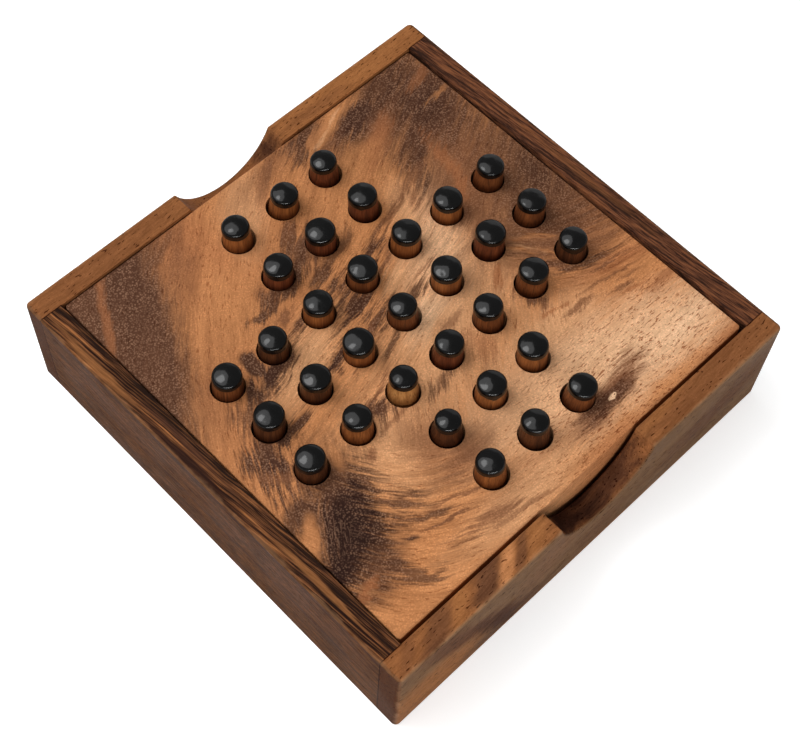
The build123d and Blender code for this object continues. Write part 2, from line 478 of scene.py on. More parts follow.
# %% The board's strokes
BOARD_STROKES = [
    # Broad fields of colour
    (-14, 34, 50, 26, 14, RUSSET, MISTY, 0.35),
    (-21, 40, 60, 7, 4, RUSSET, MISTY, 0.7),
    (-25, 48, 58, 13, 8, RUSSET, MISTY, 0.85),
    (-28, 52, 20, 9, 3.4, UMBER, MISTY, 0.6),
    (-29, 44, 58, 10, 4, UMBER, MISTY, 0.45),
    (-45, 2, 62, 26, 9, RUSSET, MISTY, 0.4),
    (25, -39, -13, 29, 9.6, PALE, MISTY, 1.0),
    (21, -36, 0, 15, 9, PALE, MISTY, 1.0),
    (42, -44, 0, 17, 5.5, PALE, MISTY, 0.9),
    (8, -36, 4, 28, 11, TAN, MISTY, 0.7),
    (6, -8, 18, 40, 12, TAN, MISTY, 0.85),
    (19, 10, 40, 17, 7, PALE, MISTY, 0.6),
    (-24, 7, 18, 14, 5.5, TAN, MISTY, 1.0),
    (-24, 25, 50, 9, 6, HONEY, MISTY, 0.8),
    (-7, 46, 48, 11, 5, TAN, MISTY, 0.7),
    (21, 23, 60, 6, 3, TAN, MISTY, 0.8),
    (-25, -22, 80, 10, 6, TAN, MISTY, 0.6),
    (-33, -47, -8, 30, 8, HONEY, MISTY, 1.0),
    # Painted shade in front of the first row of pegs
    (0, -45.4, 2, 22, 3, CHESTNUT, MISTY, 0.5),
    (-46, 14, 60, 9, 5, CHESTNUT, MISTY, 0.45),
    (-10, -49, -2, 20, 5, TAN, MISTY, 0.8),
    (-28, 30, 55, 14, 4, HONEY, SOFT, 0.5),
    # The dark left corner with its pale streak
    (-55, 35, 60, 50, 16.6, UMBER, EVEN, 1.0),
    (-39, 49, 62, 16, 5, COCOA, MISTY, 0.55),
    (-44, 26, 60, 12, 3, COCOA, MISTY, 0.25),
    (-49.5, 44, 61, 17, 1.1, RUSSET, SOFT, 0.6),
    # The dark right corner
    (46, 38, 66, 28, 15, UMBER, MISTY, 1.0),
    (50, 6, 85, 22, 12, UMBER, MISTY, 1.0),
    (51, 14, 86, 16, 5, COCOA, MISTY, 0.5),
    (38, 16, 70, 18, 8, CHESTNUT, MISTY, 0.85),
    (41, 3, 75, 14, 5, UMBER, MISTY, 0.6),
    (31, 6, 75, 12, 5, CHESTNUT, MISTY, 0.6),
    (40, -8, -25, 18, 9, CHESTNUT, MISTY, 0.85),
    (43, -3, -10, 12, 6, UMBER, MISTY, 0.7),
    (38, -20.6, -12, 9, 2.6, CHESTNUT, MISTY, 0.6),
    (22, -23.5, 0, 14, 4, TAN, MISTY, 0.9),
    (47, -25.5, -12, 12, 3.4, HONEY, MISTY, 0.8),
    (29, 47.3, 14, 14, 3.6, COCOA, SOFT, 1.0),
    (40, 50.5, 20, 12, 4.2, COCOA, SOFT, 0.85),
    (36, 33, 30, 11, 4.2, COCOA, SOFT, 0.8),
    (35, 45, 20, 14, 6, COCOA, MISTY, 1.0),
    (46, 42, 70, 13, 8, COCOA, MISTY, 1.0),
    (29, 39.6, 32, 10, 2.6, RUSSET, SOFT, 0.7),
    (22, 38, 20, 8, 3, HONEY, SOFT, 0.5),
    (12, 51.6, 8, 14, 3, CHESTNUT, MISTY, 0.7),
    (17, 45.4, 30, 7, 3, CHESTNUT, MISTY, 0.7),
    (22, 49.6, 20, 6, 1.3, HONEY, RAGGED, 0.8),
    (26, 51.2, 16, 3, 0.6, TAN, RAGGED, 0.7),
    (20, 49.2, 14, 5, 0.6, TAN, RAGGED, 0.6),
    (12.5, 50, 80, 4.5, 3, UMBER, RAGGED, 0.9),
    (18, 53.5, 8, 8, 1.5, COCOA, SOFT, 0.8),
    (2, 49, 42, 8, 1.8, CHESTNUT, SOFT, 0.6),
    (51, 40.2, 12, 4, 0.7, HONEY, RAGGED, 0.55),
    (50, 46.5, 22, 5, 1.4, RUSSET, RAGGED, 0.5),
    (37.5, 25, 84, 7, 1.8, RUSSET, RAGGED, 0.7),
    (35, 17, 52, 5, 1.4, RUSSET, RAGGED, 0.7),
    (28.5, 23.8, 38, 5.5, 1.7, COCOA, RAGGED, 0.8),
    (24, 21.5, 50, 3, 1.4, CHESTNUT, RAGGED, 0.6),
    (29, 11, 10, 3.5, 2, CHESTNUT, SOFT, 0.6),
    (27, 26.5, 10, 8, 1.4, CHESTNUT, SOFT, 0.5),
    # Blotches on the left
    (-32.8, 14.2, 86, 4.4, 2.3, COCOA, FIRM, 0.95),
    (-31.6, 9.4, 10, 6.8, 2.5, COCOA, RAGGED, 1.0),
    (-38.2, 9, 70, 3.6, 2.6, COCOA, RAGGED, 0.95),
    (-25, 10.4, 28, 4, 1.2, UMBER, RAGGED, 0.8),
    (-36, 7, 14, 3, 0.9, UMBER, RAGGED, 0.8),
    (-43.4, 4.8, 66, 5.6, 2.9, UMBER, RAGGED, 0.75),
    (-46.4, -5.6, 66, 8.5, 4.0, UMBER, RAGGED, 1.0),
    (-45.8, -6.6, 66, 6.4, 3, COCOA, RAGGED, 1.0),
    (-41.5, -3.4, 4, 7, 2.8, UMBER, RAGGED, 1.0),
    (-40.5, -4.2, 8, 4.5, 1.6, COCOA, RAGGED, 1.0),
    (-35, -3.2, 24, 3.4, 1.1, UMBER, RAGGED, 0.95),
    (-47, -10, -44, 5, 1.4, CHESTNUT, RAGGED, 0.8),
    (-45.5, -14, 10, 4, 1.6, CHESTNUT, RAGGED, 0.7),
    # The streaks in the upper middle
    (-24.6, 22.2, 4, 2.6, 1.0, UMBER, RAGGED, 0.9),
    (-19, 22, 4, 6, 1.0, UMBER, RAGGED, 0.8),
    (-19.5, 25, 70, 3, 2, CHESTNUT, SOFT, 0.6),
    (-12.5, 24.6, 14, 10, 2.3, UMBER, RAGGED, 0.95),
    (-5.5, 30.5, 52, 6.5, 3.4, UMBER, RAGGED, 0.85),
    (-4, 35, 30, 3.5, 1.4, CHESTNUT, SOFT, 0.6),
    (-3.6, 27, 75, 4.5, 2.4, UMBER, SOFT, 0.8),
    (-6.5, 20.8, 8, 4, 1.8, COCOA, RAGGED, 0.75),
    (-1, 22.8, 20, 9, 1.5, UMBER, RAGGED, 0.7),
    (-19.4, 18.4, 4, 3.2, 1.6, CHESTNUT, RAGGED, 0.8),
    (-19, 14.2, 6, 4, 1.5, UMBER, RAGGED, 1.0),
    (-5, 15.4, 30, 5, 3.2, COCOA, RAGGED, 0.9),
    (7.6, 18.6, 18, 5, 1.9, COCOA, RAGGED, 1.0),
    (16, 22, 16, 9, 1.1, CHESTNUT, RAGGED, 0.8),
    (11, 16.6, 22, 3, 1, CHESTNUT, RAGGED, 0.6),
    # The streaks in the middle
    (-6.2, 9.2, 22, 6.8, 3.4, UMBER, RAGGED, 1.0),
    (4.4, 8.8, 20, 4.6, 2.2, TAN, RAGGED, 0.9),
    (-4.6, 3.8, 22, 5, 1.7, UMBER, RAGGED, 0.95),
    (-6.4, 8.8, 20, 4.4, 1.9, COCOA, RAGGED, 0.7),
    (3.5, 12.6, 18, 5, 0.8, CHESTNUT, RAGGED, 0.8),
    (-18.4, 2.6, 18, 6, 1.7, COCOA, RAGGED, 1.0),
    (-20.2, -0.6, 34, 2.2, 0.9, UMBER, RAGGED, 0.9),
    (-6, -2.4, 28, 5.6, 0.9, UMBER, RAGGED, 0.85),
    (3, -3.2, 20, 6, 2.6, PALE, MISTY, 0.7),
    (-12, 0.5, 30, 7, 0.7, CHESTNUT, RAGGED, 0.8),
    (7.2, 3, 14, 4, 1.5, UMBER, RAGGED, 0.9),
    (11, 6, 24, 5, 0.8, CHESTNUT, RAGGED, 0.7),
    (-17.5, -9.4, 22, 7, 0.9, CHESTNUT, RAGGED, 0.9),
    (-20, -12.8, 4, 5, 2.4, UMBER, RAGGED, 1.0),
    (-19, -16.5, 6, 5, 0.8, CHESTNUT, RAGGED, 0.7),
    (-5.6, -17.4, 18, 5, 1.6, UMBER, RAGGED, 0.85),
    (6.5, -8, 12, 4, 1.2, CHESTNUT, RAGGED, 0.6),
    (7.5, -16, 80, 4, 3, RUSSET, RAGGED, 0.6),
    # The next two strokes are painted shade around peg c2
    (-18.5, -27, 80, 9, 5, CHESTNUT, MISTY, 0.75),
    (-15, -33, 10, 8, 3.6, CHESTNUT, MISTY, 0.9),
    # The fan on the right
    (22.4, -6.4, 60, 2.6, 1.4, RUSSET, RAGGED, 0.8),
    (24, -15.2, -66, 4.6, 1.6, CHESTNUT, RAGGED, 0.9),
    (25, -17, -20, 2.4, 1.1, UMBER, RAGGED, 0.7),
    (34, -13.4, -48, 6, 0.8, CHESTNUT, RAGGED, 0.9),
    (36.4, -10.4, -50, 4, 0.4, HONEY, RAGGED, 0.5),
    (38.6, -6.6, -52, 4, 0.35, HONEY, RAGGED, 0.5),
    (33.4, -6.4, -56, 3, 0.4, TAN, RAGGED, 0.5),
    (31.4, -4.6, -60, 3, 0.6, HONEY, RAGGED, 0.8),
    (36.6, -15, -36, 5, 0.6, UMBER, RAGGED, 0.7),
    (42, -18.4, -20, 8, 1.3, UMBER, RAGGED, 0.85),
    (47, -22.4, -10, 9, 1.8, RUSSET, MISTY, 0.9),
    (46, -21.6, -12, 7, 0.5, UMBER, RAGGED, 0.6),
    (40, -23.6, -14, 7, 0.4, CHESTNUT, RAGGED, 0.7),
    (30.5, -24.4, 1, 4.2, 0.8, CHESTNUT, RAGGED, 0.8),
    (26.4, -21.4, -8, 4, 0.7, RUSSET, RAGGED, 0.8),
    (40.6, -27.4, -10, 4, 0.5, CHESTNUT, RAGGED, 0.8),
    (45.6, -26.6, -8, 4, 0.4, CHESTNUT, RAGGED, 0.7),
    (43.6, -29.6, -8, 5, 0.6, RUSSET, RAGGED, 0.8),
    (50, -32.6, -8, 6, 1.2, RUSSET, RAGGED, 0.7),
    (49, -28.5, -4, 4, 1.6, HONEY, SOFT, 0.6),
    (36, -5, -45, 5, 0.8, HONEY, RAGGED, 0.5),
    # The dark spot with its pin knot
    (19.6, -44.5, 7, 12.6, 3.1, CHESTNUT, SOFT, 1.0),
    (17.4, -44.9, 5, 7.4, 2.1, UMBER, SOFT, 1.0),
    (19.2, -45.3, 16, 1.5, 0.55, PALE, FIRM, 1.0),
    (19.7, -45.2, 0, 0.26, 0.22, UMBER, FIRM, 1.0),
    # The fork in the near corner
    (-43.4, -26, 46, 16, 9.2, COCOA, SOFT, 1.0),
    (-43.6, -29.4, 44, 12.5, 6, EBONY, SOFT, 1.0),
    (-41.5, -33.4, 50, 6.5, 3.6, EBONY, SOFT, 0.9),
    (-51, -34.4, 6, 10.5, 4.8, EBONY, SOFT, 1.0),
    (-46, -40, 20, 8.5, 3.6, UMBER, MISTY, 0.75),
    (-49.4, -18.8, 30, 7.6, 3.1, COCOA, SOFT, 0.85),
    (-55, -28.6, 47, 10.5, 2.5, HONEY, FIRM, 0.85),
    (-38.5, -17.5, 20, 4, 2.4, UMBER, RAGGED, 0.7),
    (-35.5, -15, 70, 3, 1.4, HONEY, RAGGED, 0.6),
    (-33.6, -24, -78, 1.9, 1.1, UMBER, FIRM, 0.7),
    (-29, -19.5, 60, 1.6, 1.1, CHESTNUT, SOFT, 0.8),
    (-34, -29.5, -68, 4, 0.7, UMBER, RAGGED, 0.9),
    (-31, -31.6, -52, 5.5, 2.1, UMBER, RAGGED, 0.85),
    (-31.5, -36.6, -30, 6, 1.0, UMBER, RAGGED, 0.85),
    (-36.4, -39, -30, 2.2, 0.5, COCOA, SOFT, 0.9),
    (-41.6, -44.6, -62, 8, 2.0, UMBER, RAGGED, 0.8),
    (-37.6, -48.6, -12, 3, 1.0, UMBER, RAGGED, 0.8),
    (-43, -41, 70, 2.6, 1.6, UMBER, RAGGED, 0.8),
    (-50.5, -40.8, 22, 4, 0.9, RUSSET, RAGGED, 0.8),
    (-21.5, -47, -12, 8, 1.4, CHESTNUT, RAGGED, 0.8),
    (-29, -41, -22, 8, 0.5, CHESTNUT, RAGGED, 0.9),
    (-24, -38.5, -22, 8, 0.5, CHESTNUT, RAGGED, 0.7),
    (-14, -50, -8, 9, 0.6, CHESTNUT, RAGGED, 0.6),
    # A darker band along the board's front edge: painted shade from the gap at the seam
    (30, -53, 0, 34, 2.6, HONEY, SOFT, 0.8),
    (12, -53, 0, 12, 2.4, RUSSET, SOFT, 0.5),
    (48, -53, 0, 9, 2.6, RUSSET, SOFT, 0.6),
]
print("Board strokes:", len(BOARD_STROKES))

# %% [markdown]
# The grain itself needs the same care, because a streak that runs the wrong way
# is the first thing that gives a painted board away. Each flow has a middle, a
# heading and a bend, which bows it. The upper flow covers the whole board, and
# each of the others is let in where its zone says.

# %% How the board's grain runs
GRAIN_FLOWS = {
    "upper": {"Middle": (0, 10, 0), "Heading": math.radians(44), "Bend": -0.003},
    "middle": {"Middle": (0, 5, 0), "Heading": math.radians(17), "Bend": 0.001},
    "lower": {"Middle": (20, -45, 0), "Heading": math.radians(-3), "Bend": 0.0005},
    "fork": {"Middle": (-30, -38, 0), "Heading": math.radians(-35), "Bend": 0.014},
    "whorl": {"Middle": (-46, -27, 0), "Heading": math.radians(55), "Bend": -0.02},
    "fan": {"Middle": (42, -14, 0), "Heading": math.radians(-25), "Bend": 0.014},
}
# Each zone is x, y, heading, half length and half width
GRAIN_ZONES = {
    "middle": (-3, 6, 16, 40, 17),
    "lower": (14, -52, 6, 80, 27),
    "fork": (-37, -36, 0, 24, 21),
    "whorl": (-46.4, -26.4, 52, 9.5, 4.2),
    "fan": (43, -12, -30, 19, 14),
}
# A reach that goes right through the board
THROUGH = 90


def board_threads(tree, place, torn):
    """The board's grain from all its flows, and how lively the figure is at each place."""
    threads, figured = None, 0.0
    for name, values in GRAIN_FLOWS.items():
        waved = use(tree, flow, {"Place": place, **values})[0]
        parts = use(tree, grain, {"Flow": waved})
        if threads is None:
            threads = {label: parts[label] for label in ("Streaks", "Fibres", "Pores", "Ripple")}
            continue
        x, y, heading, length, width = GRAIN_ZONES[name]
        zone_place = turned_place(tree, torn, heading)
        mask = cover(tree, zone_place, (x, y, 0), heading, (length, width, THROUGH), EVEN)
        if name != "lower":
            figured = reckon(tree, "ADD", mask, figured)
        for label, value in threads.items():
            threads[label] = mix_numbers(tree, mask, value, parts[label])
    return threads, figured


def board_fray(tree, threads, spots):
    """How much the grain frays the edge of a stroke, from about -0.8 to 0.9."""
    fray = reckon(tree, "MULTIPLY_ADD", threads["Streaks"], 0.6, -0.3)
    for label, share in (("Ripple", 0.75), ("Fibres", 0.28)):
        centred = reckon(tree, "SUBTRACT", threads[label], 0.5)
        fray = reckon(tree, "MULTIPLY_ADD", centred, share, fray)
    return reckon(tree, "MULTIPLY_ADD", spots, 0.12, fray)


PUSH = (0.3, -0.3, 0)


def push(tree, place, fray):
    """Moves each place a little by the fray, so a stroke across the grain has a torn edge.

    The strokes then wait for the fray. Worked out before it, their sizes would have
    to be kept all at once, and a shader has room for only 255 numbers.
    """
    both_ways = put(tree, "ShaderNodeCombineXYZ", {"X": fray, "Y": fray}).outputs[0]
    inputs = {0: both_ways, 1: PUSH, 2: place}
    return put(tree, "ShaderNodeVectorMath", inputs, operation="MULTIPLY_ADD").outputs[0]


print("Grain flows:", len(GRAIN_FLOWS), "with", len(GRAIN_ZONES), "zones")

# %% [markdown]
# The finish is built up as on the real board: the strokes first, then the
# grain over them, then the pale dots and the thin bright lines of the swirl,
# painted glints that show only on dark wood, and last the pores. They are open
# in the pale corner at the right, where they show as short brown dashes.

# %% The board's finish
SWIRL_MIDDLE = (-47.4, -27, 29)
DOT_COLOUR = tone(190, 146, 116)


def pale_dots(tree, colour, place, threads, spots):
    """Adds painted glints to dark wood: pale dots, and bright fibres round the swirl."""
    light = put(tree, "ShaderNodeRGBToBW", {0: colour}).outputs[0]
    on_dark = fade(tree, light, 0.20, 0.06)
    gap = put(tree, "ShaderNodeVectorMath", {0: place, 1: SWIRL_MIDDLE}, operation="DISTANCE")
    swirling = fade(tree, gap.outputs["Value"], 7.5, 3.5)
    lines = reckon(tree, "MULTIPLY", fade(tree, threads["Fibres"], 0.6, 0.9), swirling)
    glints = reckon(tree, "MULTIPLY", reckon(tree, "MAXIMUM", spots, lines), on_dark)
    glints = reckon(tree, "MULTIPLY", glints, fade(tree, light, 0.01, 0.06, 0.16, 0.30))
    return blend(tree, glints, colour, DOT_COLOUR)


def open_pores(tree, colour, place, torn):
    """Adds brown dashes along the grain in the pale corner."""
    waved = use(tree, flow, {"Place": place, **GRAIN_FLOWS["lower"]})[0]
    dashes = fade(tree, noise(tree, waved, (0.80, 3.2, 3.2), detail=1.0), 0.61, 0.67)
    corner = cover(tree, turned_place(tree, torn, 6), (30, -44, 0), 6, (36, 17, THROUGH), SOFT)
    share = reckon(tree, "MULTIPLY", reckon(tree, "MULTIPLY", dashes, corner), 0.85)
    return darken(tree, colour, share, tone(158, 114, 84))


def board_wood():
    """The figured wood of the playing board."""
    made, tree, shader = new_material("board_wood")
    place = wood_coordinates(tree)
    drifting = wander(tree, place, 2.6, 0.06)
    torn = wander(tree, wander(tree, place, 3.0, 0.10), 0.8, 0.8)
    threads, figured = board_threads(tree, drifting, torn)
    spots = use(tree, dots, {"Place": place})[0]
    fray = board_fray(tree, threads, spots)
    colour = paint(tree, HONEY, push(tree, torn, fray), fray, BOARD_STROKES)

    lively = fade(tree, figured, 0.0, 1.0, 0.55, 1.0)
    colour = vary(tree, colour, threads["Streaks"], (0.80, 0.76, 0.72), (1.18, 1.18, 1.17), lively)
    colour = vary(tree, colour, threads["Fibres"], (0.84, 0.81, 0.78), (1.10, 1.10, 1.10), lively)
    # The dots lighten the wood as painted glints
    colour = vary(tree, colour, spots, (0.91, 0.895, 0.88), (1.16, 1.16, 1.16))
    colour = pale_dots(tree, colour, place, threads, spots)
    pores = reckon(tree, "MULTIPLY", threads["Pores"], 0.5)
    colour = darken(tree, colour, pores, tone(158, 112, 82))
    colour = open_pores(tree, colour, drifting, torn)
    tree.links.new(colour, shader.inputs["Base Color"])
    satin(tree, shader, 0.0, threads, specular=0.05)
    return made


board_finish = board_wood()
nodes["peg_board"].data.materials.clear()
nodes["peg_board"].data.materials.append(board_finish)
print("Nodes in the board's finish:", len(board_finish.node_tree.nodes))

# %% [markdown]
# ## The four rails
# The rails come from other boards. The front and back ones are orange brown,
# with slanting bands and short dark pores. The left and right ones are striped
# nearly black. They are butted, so the front and back rails show sawn end
# grain at the corners, which drinks more oil and is darker. Strokes on a side
# face are laid in swapped axes, so that a heading still turns in their plane.
# Hands have rubbed the outer edges, which one shared group works out from the
# distance to the box's nearest edge. Painted shade darkens the seams between rails.

# %% Shared effects for the box
HALF_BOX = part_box("front_rail")[1].x / MM
BOX_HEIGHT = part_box("left_rail")[1].z / MM
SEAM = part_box("left_rail")[1].y / MM
SEAM_SHADE_REACH = 0.2
EDGE_BAND = 0.55

wear, takes, gives = new_group(
    "edge_wear",
    [("Place", "Vector", (0, 0, 0)), ("Corner", "Vector", (HALF_BOX, HALF_BOX, BOX_HEIGHT)),
     ("Reach", "Float", 0.9)],
    [("Worn", "Float")],
)
sides = put(wear, "ShaderNodeSeparateXYZ", {0: takes["Place"]}).outputs
corner = put(wear, "ShaderNodeSeparateXYZ", {0: takes["Corner"]}).outputs
gap_x = reckon(wear, "SUBTRACT", corner["X"], reckon(wear, "ABSOLUTE", sides["X"]))
gap_y = reckon(wear, "SUBTRACT", corner["Y"], reckon(wear, "ABSOLUTE", sides["Y"]))
gap_z = reckon(wear, "SUBTRACT", corner["Z"], sides["Z"])
nearer = reckon(wear, "MINIMUM", gap_x, gap_y)
farther = reckon(wear, "MAXIMUM", gap_x, gap_y)
edge_gap = reckon(wear, "MAXIMUM", nearer, reckon(wear, "MINIMUM", farther, gap_z))
rubbed = noise(wear, takes["Place"], (0.25, 0.25, 0.25), detail=3.0)
uneven = reckon(wear, "MULTIPLY_ADD", reckon(wear, "SUBTRACT", rubbed, 0.5), 2.4, edge_gap)
wear.links.new(fade(wear, uneven, takes["Reach"], 0.0), gives["Worn"])


def swapped(tree, place, order):
    """The place with its axes in another order."""
    parts = put(tree, "ShaderNodeSeparateXYZ", {0: place}).outputs
    inputs = {new: parts[old] for new, old in zip("XYZ", order)}
    return put(tree, "ShaderNodeCombineXYZ", inputs).outputs[0]


def outer_face(tree, axis, side):
    """1 on an outer face of the box, and less on the rounding towards the top."""
    outward = reckon(tree, "MULTIPLY", axis, side)
    return fade(tree, outward, HALF_BOX - EDGE_BAND - 0.05, HALF_BOX - 0.05)


def near_seam(tree, axis, side):
    """1 at the seam between two rails. Side is 1 on a front or back rail and -1 on the others."""
    gap = reckon(tree, "ABSOLUTE", axis)
    edge = SEAM + side * 0.02
    return fade(tree, gap, edge + side * SEAM_SHADE_REACH, edge)


print("Box:", round(2 * HALF_BOX, 1), "mm wide and", round(BOX_HEIGHT, 1), "mm high")

# %% Wood of the front and back rails
AMBER = tone(158, 104, 62)
SADDLE = tone(128, 82, 51)
OLIVE = tone(118, 89, 64)

FRONT_TOP_STROKES = [
    (-55, -57, 40, 5, 1.4, SADDLE, SOFT, 0.9),
    (-46, -57, 42, 7, 2.4, UMBER, SOFT, 0.6),
    (-39, -56, 42, 6, 1.5, AMBER, SOFT, 0.9),
    (-32, -57, 42, 7, 2.8, UMBER, SOFT, 0.85),
    (-26.5, -57, 42, 6, 1.5, HONEY, SOFT, 0.85),
    (-22, -57, 42, 6, 1.2, UMBER, SOFT, 0.6),
    (-17, -57, 42, 6, 1.6, AMBER, SOFT, 0.8),
    (38, -57, 0, 24, 5, SADDLE, MISTY, 0.8),
    (24, -55, 10, 9, 1.0, AMBER, SOFT, 0.6),
]
# Dark wood in the front notch, deepened with painted shade
FRONT_NOTCH_STROKES = [
    (6, -56, 0, 13, 5, COCOA, SOFT, 0.85),
    (-5.5, -56, 0, 9.5, 5, EBONY, SOFT, 0.95),
    (-9, -56.5, 60, 4, 1.2, EBONY, RAGGED, 1.0),
]
FRONT_SIDE_STROKES = [
    (-50, 8, 10, 17, 10, AMBER, SOFT, 0.75),
    (-41, 20, -40, 17, 4.2, UMBER, SOFT, 0.8),
    (-28, 8, -50, 11, 4.4, COCOA, SOFT, 0.95),
    (-24, 4, 0, 12, 3.5, COCOA, MISTY, 0.7),
    (-14, 18, 60, 12, 7, CHESTNUT, MISTY, 0.3),
    (2, 8, 0, 8, 5, UMBER, MISTY, 0.5),
    (42, 14, 10, 18, 6, UMBER, MISTY, 0.8),
    (50, 20, 20, 10, 4, UMBER, MISTY, 0.6),
    # A painted highlight along the eased bottom edge of the front side
    (0, 0.6, 0, 70, 0.8, AMBER, SOFT, 0.6),
]
BACK_TOP_STROKES = [
    (-42, 57, 0, 22, 4, SADDLE, MISTY, 0.7),
    (38, 57, 0, 24, 4, AMBER, MISTY, 0.9),
    (24, 56, 0, 9, 1.4, SADDLE, SOFT, 0.6),
]
BACK_NOTCH_STROKES = [
    (-6, 57, 0, 12, 5, SADDLE, MISTY, 0.6),
    # Painted shade on the far end of the back notch
    (10.5, 57, 0, 4.0, 5, COCOA, SOFT, 0.9),
]
BACK_SIDE_STROKES = [
    (30, 12, 20, 24, 7, UMBER, MISTY, 0.7),
    (-30, 18, -20, 20, 6, CHESTNUT, MISTY, 0.7),
    (-48, 6, 0, 14, 6, HONEY, MISTY, 0.6),
]


def rail_wood(name, side, top_strokes, notch_strokes, side_strokes):
    """Orange brown wood of a long rail. Side is -1 at the front and 1 at the back."""
    made, tree, shader = new_material(name)
    place = wood_coordinates(tree)
    axes = put(tree, "ShaderNodeSeparateXYZ", {0: place}).outputs
    drifting = wander(tree, place, 1.6, 0.12)
    waved = use(tree, flow, {"Place": drifting, "Heading": math.radians(4)})[0]
    threads = use(tree, grain, {"Flow": waved})
    fray = reckon(tree, "SUBTRACT", threads["Streaks"], 0.5)
    colour = paint(tree, tone(144, 93, 56), drifting, fray, top_strokes, height=BOX_HEIGHT, depth=5)
    # The notch strokes lay painted shade as well as dark wood
    colour = paint(tree, colour, drifting, fray, notch_strokes, height=22, depth=7.5)
    colour = blend(tree, outer_face(tree, axes["Y"], side), colour, OLIVE)
    side_place = swapped(tree, drifting, "XZY")
    colour = paint(tree, colour, side_place, fray, side_strokes, height=side * HALF_BOX, depth=1.2)
    colour = vary(tree, colour, threads["Streaks"], (0.84, 0.81, 0.78), (1.12, 1.12, 1.11))
    colour = vary(tree, colour, threads["Fibres"], (0.84, 0.81, 0.78), (1.12, 1.12, 1.12))
    # Pale dots as painted glints
    spots = use(tree, dots, {"Place": place})[0]
    colour = vary(tree, colour, spots, (0.94, 0.93, 0.92), (1.10, 1.10, 1.10))
    dashes = fade(tree, noise(tree, waved, (0.55, 2.0, 2.0), detail=1.0), 0.64, 0.70)
    colour = darken(tree, colour, reckon(tree, "MULTIPLY", dashes, 0.85), tone(110, 72, 52))
    sawn = fade(tree, reckon(tree, "ABSOLUTE", axes["X"]), HALF_BOX - 0.9, HALF_BOX - 0.2)
    colour = darken(tree, colour, sawn, tone(146, 134, 124))
    # Painted shade in the seams where the side rails butt against this one
    seam = near_seam(tree, axes["Y"], 1)
    at_end = fade(tree, reckon(tree, "ABSOLUTE", axes["X"]), SEAM - 0.3, SEAM)
    colour = darken(tree, colour, reckon(tree, "MULTIPLY", seam, at_end), tone(110, 80, 64))
    worn = use(tree, wear, {"Place": place})[0]
    colour = blend(tree, reckon(tree, "MULTIPLY", worn, 0.18), colour, TAN)
    tree.links.new(colour, shader.inputs["Base Color"])
    satin(tree, shader, worn, threads, specular=0.02)
    return made


FRONT_STROKES = (FRONT_TOP_STROKES, FRONT_NOTCH_STROKES, FRONT_SIDE_STROKES)
BACK_STROKES = (BACK_TOP_STROKES, BACK_NOTCH_STROKES, BACK_SIDE_STROKES)
finishes = {
    "front_rail": rail_wood("front_rail_wood", -1, *FRONT_STROKES),
    "back_rail": rail_wood("back_rail_wood", 1, *BACK_STROKES),
}
print("Strokes on the front rail:", [len(strokes) for strokes in FRONT_STROKES])

# %% Wood of the left and right rails
LEFT_TONES = (tone(164, 106, 62), tone(98, 61, 39), tone(38, 24, 18))
RIGHT_TONES = (tone(128, 80, 52), tone(94, 58, 41), tone(50, 32, 25))

LEFT_TOP_STROKES = [
    (-58.2, 37, 92, 12, 0.9, AMBER, RAGGED, 0.6),
    (-58.9, 4, 88, 17, 1.2, EBONY, RAGGED, 0.85),
    (-56.2, 8, 91, 13, 0.8, COCOA, RAGGED, 0.7),
    (-57.4, -32, 93, 12, 0.6, AMBER, RAGGED, 0.6),
]
RIGHT_TOP_STROKES = [
    (57.4, 0, 92, 20, 0.8, SADDLE, RAGGED, 0.4),
]
LEFT_SIDE_STROKES = [
    (0, 28.3, 0, 70, 1.4, COCOA, SOFT, 0.8),
    (0, 14.6, 0, 70, 0.9, COCOA, RAGGED, 0.8),
    (20, 5, 0, 30, 4, COCOA, MISTY, 0.4),
    (-30, 22, 0, 30, 4, UMBER, MISTY, 0.6),
    (30, 21, 0, 30, 3, UMBER, MISTY, 0.6),
]
RIGHT_SIDE_STROKES = [
    (10, 20, 0, 40, 5, UMBER, MISTY, 0.6),
    (-25, 9, 0, 24, 4, CHESTNUT, MISTY, 0.6),
]


def stripes(tree, waved, fine, tones, balance):
    """Long stripes in three tones. Balance is how much the dark tone wins."""
    light, middle, dark = tones
    broad = noise(tree, waved, (0.022, 0.42, 0.4), detail=1.0)
    height = reckon(tree, "MULTIPLY_ADD", broad, 0.5, reckon(tree, "SUBTRACT", fine, balance))
    colour = blend(tree, fade(tree, height, 0.66, 0.76), dark, middle)
    colour = blend(tree, fade(tree, height, 0.76, 0.90), colour, light)
    tips = fade(tree, noise(tree, waved, (0.09, 3.4, 2.0), detail=1.0), 0.52, 0.70)
    return blend(tree, reckon(tree, "MULTIPLY", tips, 0.25), colour, light)


def brown_side(tree, place, fine, fray, side, strokes):
    """The plainer outer face: brown, streaked along the rail, with slanting flecks and pits."""
    colour = paint(tree, tone(91, 56, 30), place, fray, strokes, depth=400)
    slanted = turned_place(tree, place, side * 48)
    cells = noise(tree, slanted, (0.42, 1.25, 1.0), detail=2.0)
    flecks = reckon(tree, "MULTIPLY", fade(tree, cells, 0.50, 0.70), 0.22)
    colour = blend(tree, flecks, colour, tone(122, 82, 50))
    colour = vary(tree, colour, fade(tree, fine, 0.35, 0.65), (0.58, 0.55, 0.51), (1.31, 1.29, 1.26))
    pits = reckon(tree, "MULTIPLY", fade(tree, cells, 0.46, 0.34), 0.35)
    return blend(tree, pits, colour, COCOA)


